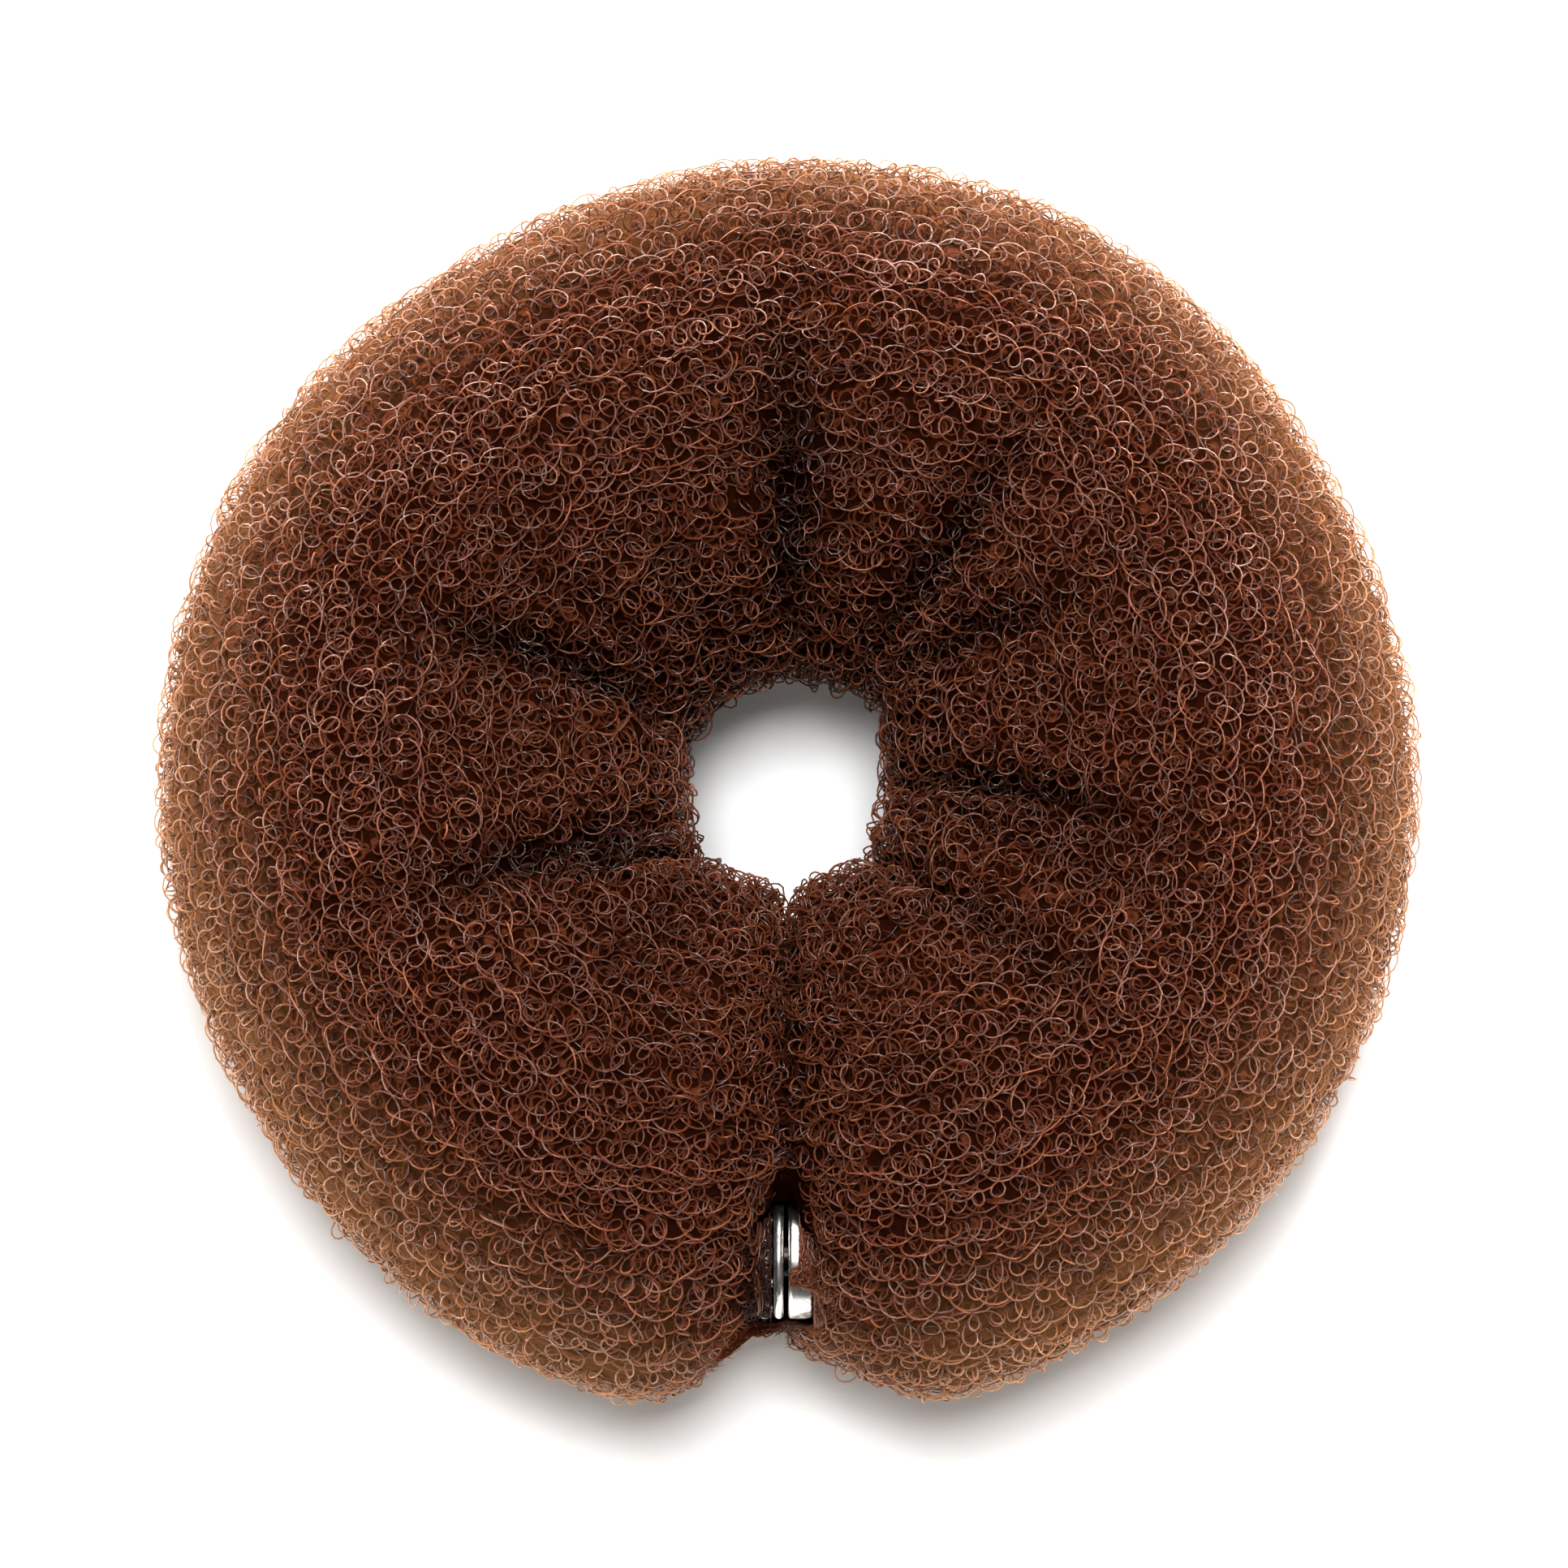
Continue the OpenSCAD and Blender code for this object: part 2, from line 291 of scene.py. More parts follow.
def link_object(name, data):
    obj = bpy.data.objects.new(name, data)
    bpy.context.scene.collection.objects.link(obj)
    return obj


def look_along(obj, direction):
    obj.rotation_mode = "QUATERNION"
    obj.rotation_quaternion = direction.to_track_quat("-Z", "Y")


def make_camera(height):
    """Camera at the photograph's angle: nearly from above, tipped a little towards the seam."""
    back = Vector((0, -math.cos(CAMERA_ELEVATION), math.sin(CAMERA_ELEVATION)))
    data = bpy.data.cameras.new("camera")
    data.lens = LENS_MM
    data.sensor_width = SENSOR_MM
    data.clip_start, data.clip_end = CAMERA_CLIP
    camera = link_object("camera", data)
    camera.location = Vector((*CAMERA_AIM, height / 2)) + back * CAMERA_DISTANCE
    look_along(camera, -back)
    bpy.context.scene.camera = camera


def area_light(name, place, size, power, colour, glints):
    data = bpy.data.lights.new(name, "AREA")
    data.shape = "RECTANGLE"
    data.size, data.size_y = size
    data.energy = power
    data.color = colour
    light = link_object(name, data)
    light.location = place
    look_along(light, Vector((0, 0, MID_Z)) - Vector(place))
    light.visible_camera = False
    light.visible_glossy = glints


def make_floor():
    corners = [(-1, -1), (1, -1), (1, 1), (-1, 1)]
    mesh = bpy.data.meshes.new("floor")
    mesh.from_pydata([(x * FLOOR_HALF, y * FLOOR_HALF, 0) for x, y in corners], [], [(0, 1, 2, 3)])
    mesh.materials.append(floor_material())
    floor = link_object("floor", mesh)


def make_studio():
    """Pale floor, soft lights above and behind, and low ones all round that light up the rim."""
    make_floor()
    for light in LIGHTS:
        area_light(*light)
    world = bpy.data.worlds.new("studio")
    world.use_nodes = True
    background = world.node_tree.nodes["Background"]
    background.inputs["Color"].default_value = (*WHITE, 1)
    background.inputs["Strength"].default_value = WORLD_STRENGTH
    bpy.context.scene.world = world
    bpy.context.scene.view_settings.view_transform = "Standard"


def unit(v):
    return v / np.maximum(np.linalg.norm(v, axis=-1, keepdims=True), 1e-12)


def run_along(line):
    """Distance along a line up to each of its points."""
    return np.concatenate([[0], np.cumsum(np.linalg.norm(np.diff(line, axis=0), axis=1))])


def turned(first, second, angle):
    """Two directions at right angles, turned by an angle in their plane."""
    cos = np.cos(angle)
    sin = np.sin(angle)
    return first * cos + second * sin, second * cos - first * sin


class RollForm:
    """The roll's surface on a grid of turn about the hole, from the seam, by place round the section."""

    def __init__(self, node):
        mesh = node.data
        tree = BVHTree.FromPolygons(
            [v.co.copy() for v in mesh.vertices], [tuple(p.vertices) for p in mesh.polygons]
        )
        self.height = max(v.co.z for v in mesh.vertices)
        self.end = 2 * math.pi
        self.turns = np.linspace(0, self.end, TURN_CELLS + 1)
        reach, origins, rays = self.read_sections(tree)
        self.round_ends(reach)
        points = origins[:, None, :] + rays * reach[..., None]
        creases = self.find_creases(reach, points)
        sections = np.concatenate([points, creases[..., None]], -1)
        sections = np.stack([self.even_section(section) for section in sections])
        self.points = sections[..., :3]
        self.normals = self.find_normals(origins)
        self.shades = np.stack([sections[..., 3], self.find_flank()], -1)

    def read_sections(self, tree):
        """How far the surface lies from the middle of each section, found from outside the solid."""
        count = len(self.turns)
        reach = np.zeros((count, ROUND_CELLS))
        origins = np.zeros((count, 3))
        rays = np.zeros((count, ROUND_CELLS, 3))
        for i, turn in enumerate(self.turns):
            out = Vector((math.sin(turn), -math.cos(turn), 0))
            shift = Vector((SECTION_SHIFT * math.cos(turn / 2), 0, 0))
            centre_r = self.centre_radius(tree, min(max(turn, READ_TURN), self.end - READ_TURN))
            centre = shift + out * centre_r + Vector((0, 0, self.height / 2))
            origins[i] = centre
            for j in range(ROUND_CELLS):
                around = j * 2 * math.pi / ROUND_CELLS
                ray = out * math.cos(around) + Vector((0, 0, math.sin(around)))
                rays[i, j] = ray
                far = self.height
                if math.cos(around) < 0:
                    far = min(far, -centre_r / math.cos(around))
                hit = tree.ray_cast(centre + ray * far, -ray)[0]
                reach[i, j] = (hit - centre).length if hit else 0
        return reach, origins, rays

    @staticmethod
    def centre_radius(tree, turn):
        """Middle of the section between the hole's wall and the outer face."""
        out = Vector((math.sin(turn), -math.cos(turn), 0))
        level = Vector((0, 0, MID_Z))
        inner = tree.ray_cast(level, out)[0]
        outer = tree.ray_cast(level + out * FAR, -out)[0]
        return (inner.xy.length + outer.xy.length) / 2

    def round_ends(self, reach):
        """Carries the ends' rounding on to the seam, where the snap's slot and pocket open the solid."""
        step = self.turns[1]
        read_cell = round(READ_TURN / step)
        end_cell = round(END_TURN / step)
        left = 1 - self.turns / END_TURN
        for side in (reach, reach[::-1]):
            full = side[end_cell]
            read = side[read_cell]
            for i in range(read_cell):
                side[i] = full - (full - read) * (left[i] / left[read_cell]) ** END_POWER

    def find_creases(self, reach, points):
        """How deep each point lies in a crease, from 0 for none to 1."""
        span = round(CREASE_TURN / self.turns[1])
        hull = reach.copy()
        for offset in range(1, span + 1):
            for moved in (np.roll(reach, offset, 0), np.roll(reach, -offset, 0)):
                hull = np.maximum(hull, moved)
        near, far = CREASE_FADE
        fade = np.clip((far - np.hypot(points[..., 0], points[..., 1])) / (far - near), 0, 1)
        deep = np.clip((hull - reach) / CREASE_DEPTH, 0, 1) * fade
        from_seam = np.minimum(self.turns, self.end - self.turns)
        deep[from_seam < END_TURN] = 0
        seam = np.clip(1 - np.abs(points[..., 0]) / SEAM_WIDTH, 0, 1)
        seam[from_seam > END_TURN] = 0
        return np.maximum(deep, seam)

    @staticmethod
    def even_section(section):
        """The same closed section with its points spaced evenly along it."""
        closed = np.vstack([section, section[:1]])
        run = run_along(closed[:, :3])
        wanted = np.linspace(0, run[-1], ROUND_CELLS, endpoint=False)
        return np.stack([np.interp(wanted, run, column) for column in closed.T], -1)

    def find_normals(self, origins):
        along = np.gradient(self.points, axis=0)
        round_section = (np.roll(self.points, -1, 1) - np.roll(self.points, 1, 1)) / 2
        normals = unit(np.cross(along, round_section))
        outward = self.points - origins[:, None, :]
        return normals * np.sign((normals * outward).sum(-1, keepdims=True))

    def find_flank(self):
        """How far each point lies onto the outer flank, from 0 for not at all to 1."""
        away = unit(self.points * (1, 1, 0))
        outwards = (self.normals * away).sum(-1)
        return np.clip((outwards - FLANK_FROM) / (FLANK_TO - FLANK_FROM), 0, 1) ** 2

    def blend(self, grid, turn, place):
        """The grid's value at a turn and place, blended from the four nearest points."""
        u = np.clip(turn / self.end * TURN_CELLS, 0, TURN_CELLS - 1e-6)
        v = np.mod(place, 1) * ROUND_CELLS
        i = u.astype(int)
        j = np.floor(v).astype(int) % ROUND_CELLS
        next_j = (j + 1) % ROUND_CELLS
        past_i = (u - i)[..., None]
        past_j = (v - np.floor(v))[..., None]
        near = grid[i, j] * (1 - past_j) + grid[i, next_j] * past_j
        far = grid[i + 1, j] * (1 - past_j) + grid[i + 1, next_j] * past_j
        return near * (1 - past_i) + far * past_i

    def at(self, turn, place, depth):
        """Point this deep under the surface in its section, with the surface's outward normal."""
        point = self.blend(self.points, turn, place)
        normal = unit(self.blend(self.normals, turn, place))
        ring = np.stack([np.cos(turn), np.sin(turn), np.zeros_like(turn)], -1)
        in_section = unit(normal - ring * (normal * ring).sum(-1, keepdims=True))
        return point - in_section * np.asarray(depth)[..., None], normal

    def shade(self, turn, place):
        """How deep in a crease and how far onto the outer flank a point lies, each from 0 to 1."""
        return self.blend(self.shades, turn, place)


class Collar:
    """A skin round the snap's axis that pinched strands run over: turns about it, by x along it."""

    def __init__(self, snap):
        self.snap = snap
        self.end = 2 * math.pi

    def at(self, turn, place, depth):
        normal = np.stack([np.zeros_like(turn), -np.cos(turn), np.sin(turn)], -1)
        away = self.snap.radius + COLLAR_REACH - np.asarray(depth)
        point = np.array([0, -self.snap.out, self.snap.z]) + normal * away[..., None]
        point[..., 0] = place
        return point, normal

    @staticmethod
    def shade(turn, place):
        return np.stack([np.where(place < 0, *COLLAR_CREASE_SHADES), np.zeros_like(place)], -1)


def wave(rng, at, low, high):
    """A slowly changing random value, one knot for each whole number that at passes."""
    knots = rng.uniform(low, high, int(at[-1]) + 3)
    i = at.astype(int)
    past = at - i
    past = past * past * (3 - 2 * past)
    return knots[i] * (1 - past) + knots[i + 1] * past


def loop_starts(advance, run, spread, rng):
    """Where each loop of a strand starts, along the strand's row."""
    starts = [0.0]
    while starts[-1] < run[-1]:
        stretch = np.interp(starts[-1], run, spread)
        starts.append(starts[-1] + rng.uniform(*advance) * stretch)
    return starts


def row_points(form, layer, place, rng):
    """Each point of a row's strand: which loop it is in, counted in parts of loops, its turn and its
    place round the section."""
    row_turn = np.linspace(0, form.end, ROW_SAMPLES)
    wander = wave(rng, np.linspace(0, WANDER_KNOTS, ROW_SAMPLES), -layer["wander"], layer["wander"])
    row, normal = form.at(row_turn, place + wander, np.full(ROW_SAMPLES, np.mean(layer["depth"])))
    run = run_along(row)
    spread = np.where(normal[:, 2] < UNDERSIDE_NORMAL, UNDERSIDE_SPREAD, 1.0)
    starts = loop_starts(layer["advance"], run, spread, rng)
    loops = len(starts) - 1
    loop = np.arange(loops * layer["points"] + 1) / layer["points"]
    along = np.interp(loop, np.arange(loops + 1), starts)
    return loop, np.interp(along, run, row_turn), place + np.interp(along, run, wander)


def loop_strand(form, layer, place, rng):
    """One row's strand: its path, the normal of each loop's plane, and how creased, how far on the
    flank and how buried each point is."""
    loop, turn, places = row_points(form, layer, place, rng)
    depth = wave(rng, loop, *layer["depth"])
    centre, normal = form.at(turn, places, depth)
    ahead = np.gradient(centre, axis=0)
    ahead = unit(ahead - normal * (ahead * normal).sum(-1, keepdims=True))
    side = np.cross(ahead, normal)
    centre = centre + side * wave(rng, loop, -layer["stray"], layer["stray"])[:, None]
    ahead, side = turned(ahead, side, wave(rng, loop, *layer["veer"])[:, None])
    upwards = np.clip(-TURN_UP * side[:, 2], -1, 1)
    tilt = (wave(rng, loop, *layer["tilt"]) * upwards + wave(rng, loop, *WOBBLE))[:, None]
    lean = side * np.cos(tilt) + normal * np.sin(tilt)
    radius = wave(rng, loop, *layer["radius"])[:, None]
    oval = wave(rng, loop, *OVAL)[:, None]
    angle = (rng.uniform(0, 2 * math.pi) + rng.choice([-1, 1]) * loop * 2 * math.pi)[:, None]
    path = centre + (ahead * np.cos(angle) + lean * np.sin(angle) * oval) * radius
    # Parts of a loop deep under the surface get painted shade, by how buried they are.
    buried = np.clip((depth - ((path - centre) * normal).sum(-1)) / BURIED, 0, 1)
    path[:, 2] = np.maximum(path[:, 2], FLOOR_LIFT)
    return path, np.cross(lean, ahead), np.column_stack([form.shade(turn, places), buried])


def wire_radius(path, full, snap):
    """Wire radius along a strand: nothing at its tips and where it would cross the snap, and half
    beside those."""
    shown = ~snap.opens(path)
    shown[0] = shown[-1] = False
    whole = shown.copy()
    whole[1:] &= shown[:-1]
    whole[:-1] &= shown[1:]
    return full * (0.5 * shown + 0.5 * whole)


def tube(path, outward, radius, columns):
    """Corner points and triangles of a wire, pointed wherever its radius falls to nothing. Columns are
    the angles of its corners from outwards: where the last is 180 the wire is closed, and otherwise its
    far side stays open."""
    tangent = unit(np.gradient(path, axis=0))
    side = unit(np.cross(tangent, outward))
    other = np.cross(side, tangent)
    corners = []
    for column in np.radians(columns):
        corners.append(path + (other * math.cos(column) + side * math.sin(column)) * radius[:, None])
    places = np.stack(corners, 1)
    count = len(columns)
    index = np.arange(len(path) * count).reshape(-1, count)
    index = np.where((radius <= 0)[:, None], index[:, :1], index)
    a, b = index[:-1], index[1:]
    next_a, next_b = np.roll(a, -1, 1), np.roll(b, -1, 1)
    if columns[-1] < 180:
        a, b, next_a, next_b = a[:, :-1], b[:, :-1], next_a[:, :-1], next_b[:, :-1]
    faces = np.concatenate([np.stack([a, next_a, next_b], -1), np.stack([a, next_b, b], -1)])
    faces = faces.reshape(-1, 3)
    same = (faces == np.roll(faces, 1, 1)).any(1)
    return places.reshape(-1, 3), faces[~same]


def add_mesh(name, places, faces):
    mesh = bpy.data.meshes.new(name)
    mesh.vertices.add(len(places))
    mesh.vertices.foreach_set("co", np.ascontiguousarray(places, np.float32).ravel())
    sides = faces.shape[1]
    mesh.loops.add(faces.size)
    mesh.loops.foreach_set("vertex_index", np.ascontiguousarray(faces, np.int32).ravel())
    mesh.polygons.add(len(faces))
    mesh.polygons.foreach_set("loop_start", np.arange(0, faces.size, sides, dtype=np.int32))
    mesh.update(calc_edges=True)
    mesh.shade_smooth()
    return link_object(name, mesh)


def add_shade(obj, shade):
    """Keeps how creased, how far on the flank and how buried each point is, for the materials."""
    for name, values in zip(("crease", "flank", "buried"), shade.T):
        kept = obj.data.attributes.new(name, "FLOAT", "POINT")
        kept.data.foreach_set("value", np.ascontiguousarray(values, np.float32))


def make_core(form):
    """The roll's packed inside, which shows between the loops in painted shade. It runs on through the
    seam.
    """
    turns = np.linspace(0, form.end, CORE_TURNS + 1)
    rounds = np.arange(CORE_ROUND) / CORE_ROUND
    turn, place = np.meshgrid(turns, rounds, indexing="ij")
    shade = form.shade(turn, place)
    points, _ = form.at(turn, place, CORE_DEPTH - (CORE_DEPTH - CORE_FLANK_DEPTH) * shade[..., 1])
    points[..., 2] = np.maximum(points[..., 2], FLOOR_LIFT)
    points[0] = (points[0] + points[-1]) / 2
    index = np.arange(CORE_TURNS * CORE_ROUND).reshape(CORE_TURNS, CORE_ROUND)
    ahead = np.roll(index, -1, 0)
    quads = np.stack([index, ahead, np.roll(ahead, -1, 1), np.roll(index, -1, 1)], -1).reshape(-1, 4)
    core = add_mesh("mesh_core", points[:-1].reshape(-1, 3), quads)
    bm = bmesh.new()
    bm.from_mesh(core.data)
    bmesh.ops.recalc_face_normals(bm, faces=bm.faces)
    bm.to_mesh(core.data)
    bm.free()
    add_shade(core, shade[:-1].reshape(-1, 2))
    return core


def subtract(obj, add_form, matrix):
    """Cuts a form, placed by a matrix, out of a piece."""
    bm = bmesh.new()
    add_form(bm)
    bmesh.ops.transform(bm, matrix=matrix, verts=bm.verts)
    mesh = bpy.data.meshes.new("cutter")
    bm.to_mesh(mesh)
    bm.free()
    cutter = link_object("cutter", mesh)
    cut = obj.modifiers.new("cut", "BOOLEAN")
    cut.operation = "DIFFERENCE"
    cut.object = cutter
    cut.solver = "EXACT"
    bpy.context.view_layer.objects.active = obj
    bpy.ops.object.modifier_apply(modifier="cut")
    bpy.data.objects.remove(cutter)
    bpy.data.meshes.remove(mesh)


def unit_cube(bm):
    bmesh.ops.create_cube(bm, size=1)


class SnapPlace:
    """Where the snap sits: its axis runs along X, through the notch."""

    def __init__(self):
        stud_lo, stud_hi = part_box("snap_stud")
        ring_lo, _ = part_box("stud_backing_ring")
        _, ring_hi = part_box("socket_backing_ring")
        self.out = -(stud_lo.y + stud_hi.y) / 2
        self.z = (stud_lo.z + stud_hi.z) / 2
        self.radius = (stud_hi.z - stud_lo.z) / 2
        self.low_x = ring_lo.x
        self.high_x = ring_hi.x
        self.lean = np.array([math.cos(SLOT_LEAN), math.sin(SLOT_LEAN)])

    def offset(self, path):
        """Outward and upward distance from the snap's axis."""
        return np.stack([-path[..., 1] - self.out, path[..., 2] - self.z], -1)

    def outwards(self, path):
        """Distance outwards across the leaning slot, from its middle."""
        off = self.offset(path)
        return off[..., 0] * self.lean[1] - off[..., 1] * self.lean[0]

    def walls(self, path):
        """How open the slot is at each point, from 0 to 1, and where it ends on the socket's side."""
        off = self.offset(path)
        away = np.linalg.norm(off, axis=-1)
        along = off @ self.lean
        outwards = self.outwards(path)
        beside = np.where(along > 0, np.abs(outwards), away) - self.radius - SLOT_BLEND
        taper = np.clip(1 - beside / SLOT_TAPER, 0, 1) * ((beside <= 0) | (outwards < 0))
        return taper, np.interp(outwards, BARE_OUT, BARE_X) * taper

    def opens(self, path):
        """True where a wire would cross the open slot, the notch's bite or the part of the snap that
        shows."""
        taper, high = self.walls(path)
        low = SLOT_SIDES[0] * taper
        x = path[..., 0]
        in_slot = (taper > 0) & (x > low + SLACK) & (x < high - SLACK)
        past_disc = self.offset(path)[..., 0] - self.radius - BITE_CLEAR
        in_bite = (x > BITE_X[0] - BITE_SPREAD * past_disc) & (x < BITE_X[1])
        return in_slot | (in_bite & (past_disc > 0))

    def squeeze(self, path, side):
        """The path of a strand on the socket's side, 1, or the stud's, -1, pressed back out of the slot."""
        taper, high = self.walls(path)
        wall = np.where(side > 0, high, -SLOT_SIDES[0] * taper)
        back = path[..., 0] * side
        pressed = wall + (SQUEEZE - wall) * (back + OVERSHOOT) / (SQUEEZE + OVERSHOOT)
        pressed = np.where(back < SQUEEZE, np.maximum(pressed, wall), back)
        back = back + (pressed - back) * (taper > 0)
        return np.concatenate([(back * side)[..., None], path[..., 1:]], -1)

    def clear(self, path, place):
        """The path of a strand pinched round the snap at this x, held off the part that shows."""
        side = math.copysign(1, place)
        wall = np.interp(self.outwards(path), BARE_OUT, BARE_X) if side > 0 else -SLOT_SIDES[0]
        back = path[..., 0] * side
        back = np.where(back < wall, wall + (wall - back) * COLLAR_SPRING, back)
        return np.concatenate([(back * side)[..., None], path[..., 1:]], -1)

    def drape(self, path):
        """The path drawn out of the metal, onto the snap and its backing rings."""
        off = self.offset(path)
        away = np.linalg.norm(off, axis=-1)
        reach = self.radius + SNAP_CLEAR
        x = path[..., 0]
        inside = (away < reach) & (x > self.low_x - SNAP_CLEAR) & (x < self.high_x + SNAP_CLEAR)
        target = reach + DRAPE_LAYER * away / reach
        off = off * np.where(inside, target / np.maximum(away, SLACK), 1)[..., None]
        return np.stack([x, -(off[..., 0] + self.out), off[..., 1] + self.z], -1)

    def pocket(self, path):
        """How much painted shade the pocket beside the stud puts on each point, from 0 to 1."""
        off = self.offset(path)
        width = np.interp(off[..., 0], POCKET_SHADE_OUT, POCKET_SHADE_WIDTH)
        beside = np.clip(1 - (SLOT_SIDES[0] - path[..., 0]) / width, 0, 1) * (path[..., 0] < 0)
        away = np.linalg.norm(off, axis=-1) - self.radius
        return beside * np.clip(1 - away / SLOT_TAPER, 0, 1)

    def paint_snap_shade(self, obj):
        """Paints shade on a piece round the snap, in its pocket and slot, as dark as in a crease."""
        kept = obj.data.attributes["crease"].data
        count = len(obj.data.vertices)
        crease = np.zeros(count, np.float32)
        kept.foreach_get("value", crease)
        places = np.zeros(count * 3, np.float32)
        obj.data.vertices.foreach_get("co", places)
        places = places.reshape(-1, 3)
        from_seam = np.abs(places[:, 0])
        beside = np.linalg.norm(self.offset(places), axis=-1) - self.radius
        in_pocket = np.clip(1 - (beside - SNAP_CLEAR) / SLOT_BLEND, 0, 1)
        in_pocket = in_pocket * (from_seam < SQUEEZE + SNAP_CLEAR)
        taper, _ = self.walls(places)
        in_slot = (taper > 0) & (from_seam < -SLOT_SIDES[0] + SLOT_BLEND)
        dark = np.maximum(crease, np.maximum(in_pocket, in_slot))
        kept.foreach_set("value", dark.astype(np.float32))

    def slot_matrix(self):
        slot_x = (SLOT_SIDES[0] + SLOT_SIDES[1]) / 2
        width = 2 * (self.radius + SLOT_BLEND)
        matrix = Matrix.Translation((slot_x, -self.out, self.z))
        matrix @= Matrix.Rotation(math.pi / 2 - SLOT_LEAN, 4, "X")
        matrix @= Matrix.Translation((0, 0, SLOT_LENGTH / 2))
        return matrix @ Matrix.Diagonal((SLOT_SIDES[1] - SLOT_SIDES[0], width, SLOT_LENGTH, 1))

    def bite_matrix(self):
        bite_x = (BITE_X[0] + BITE_X[1]) / 2
        bite_y = -(self.out + self.radius + BITE_CLEAR + SLOT_LENGTH / 2)
        matrix = Matrix.Translation((bite_x, bite_y, self.z))
        return matrix @ Matrix.Diagonal((BITE_X[1] - BITE_X[0], SLOT_LENGTH, BITE_HEIGHT, 1))

    def flare_matrix(self):
        matrix = Matrix.Translation((BITE_X[0], -(self.out + self.radius + BITE_CLEAR), self.z))
        matrix @= Matrix.Rotation(math.pi / 4, 4, "Z") @ Matrix.Diagonal((FLARE, FLARE, BITE_HEIGHT, 1))
        return matrix @ Matrix.Translation((-0.5, -0.5, 0))

    def pocket_matrix(self):
        pocket_x = (self.low_x + self.high_x) / 2
        matrix = Matrix.Translation((pocket_x, -self.out, self.z))
        return matrix @ Matrix.Rotation(math.pi / 2, 4, "Y")

    def pocket_drum(self, bm):
        reach = self.radius + SNAP_CLEAR
        length = self.high_x - self.low_x + 2 * SNAP_CLEAR
        bmesh.ops.create_cone(
            bm, cap_ends=True, segments=POCKET_SIDES, radius1=reach, radius2=reach, depth=length
        )

    def cut(self, obj):
        """Cuts the slot, the notch's bite and its flare, and the snap's pocket out of a piece."""
        for matrix in (self.slot_matrix(), self.bite_matrix(), self.flare_matrix()):
            subtract(obj, unit_cube, matrix)
        subtract(obj, self.pocket_drum, self.pocket_matrix())


def new_material(name):
    mat = bpy.data.materials.new(name)
    mat.use_nodes = True
    return mat, mat.node_tree.nodes, mat.node_tree.links, mat.node_tree.nodes["Principled BSDF"]


def ramp(nodes, stops):
    """Colour ramp through a first and a last stop, each a level and a colour."""
    node = nodes.new("ShaderNodeValToRGB")
    for element, (level, colour) in zip(node.color_ramp.elements, stops):
        element.position = level
        element.color = (*colour, 1)
    return node


def mix(nodes, links, share, first, second):
    """Colour that goes from the first to the second one, by share."""
    node = nodes.new("ShaderNodeMixRGB")
    links.new(share, node.inputs["Fac"])
    links.new(first, node.inputs["Color1"])
    node.inputs["Color2"].default_value = (*second, 1)
    return node.outputs["Color"]


def calculate(nodes, links, operation, *values):
    """One step of arithmetic on other nodes' outputs and plain numbers."""
    node = nodes.new("ShaderNodeMath")
    node.operation = operation
    for value, socket in zip(values, node.inputs):
        if isinstance(value, bpy.types.NodeSocket):
            links.new(value, socket)
        else:
            socket.default_value = value
    return node.outputs[0]


def attribute(nodes, name):
    node = nodes.new("ShaderNodeAttribute")
    node.attribute_name = name
    return node.outputs["Fac"]


def place_in_object(nodes):
    return nodes.new("ShaderNodeTexCoord").outputs["Object"]


def floor_material():
    mat, _, _, bsdf = new_material("floor")
    bsdf.inputs["Base Color"].default_value = (*FLOOR_COLOUR, 1)
    bsdf.inputs["Roughness"].default_value = FLOOR_ROUGHNESS
    bsdf.inputs["Specular IOR Level"].default_value = FLOOR_GLOSS
    return mat


def strand_material(name, dark, light, flank, see_through, gloss, roughness):
    """Brown translucent monofilament: colour drifts from strand to strand, with a wet-looking gloss."""
    mat, nodes, links, bsdf = new_material(name)
    noise = nodes.new("ShaderNodeTexNoise")
    noise.inputs["Scale"].default_value = STRAND_NOISE_SCALE
    noise.inputs["Detail"].default_value = STRAND_NOISE_DETAIL
    links.new(place_in_object(nodes), noise.inputs["Vector"])
    colours = ramp(nodes, zip(STRAND_NOISE_LEVELS, (dark, light)))
    links.new(noise.outputs["Fac"], colours.inputs["Fac"])
    # Painted shade for creases, the seam and the snap's pocket: a darker copy of the strand colour.
    crease_shade_colour = [part * CREASE_SHADE for part in dark]
    # Painted rim light on the outer flank.
    shaded = mix(nodes, links, attribute(nodes, "flank"), colours.outputs["Color"], flank)
    # Painted shade deep under the surface.
    shaded = mix(nodes, links, attribute(nodes, "buried"), shaded, BURIED_SHADE)
    shaded = mix(nodes, links, attribute(nodes, "crease"), shaded, crease_shade_colour)
    links.new(shaded, bsdf.inputs["Base Color"])
    bsdf.inputs["Roughness"].default_value = roughness
    bsdf.inputs["Specular IOR Level"].default_value = gloss
    bsdf.inputs["Transmission Weight"].default_value = see_through
    return mat


def distance_to_arcs(nodes, links):
    """Distance to the nearest ring about the scattered points of each scale."""
    where = place_in_object(nodes)
    nearest = None
    for scale in CORE_ARC_SCALES:
        cells = nodes.new("ShaderNodeTexVoronoi")
        cells.feature = "F1"
        cells.inputs["Scale"].default_value = scale
        links.new(where, cells.inputs["Vector"])
        past_ring = calculate(nodes, links, "SUBTRACT", cells.outputs["Distance"], CORE_ARC_RADIUS)
        away = calculate(nodes, links, "ABSOLUTE", past_ring)
        nearest = calculate(nodes, links, "MINIMUM", nearest, away) if nearest else away
    return nearest


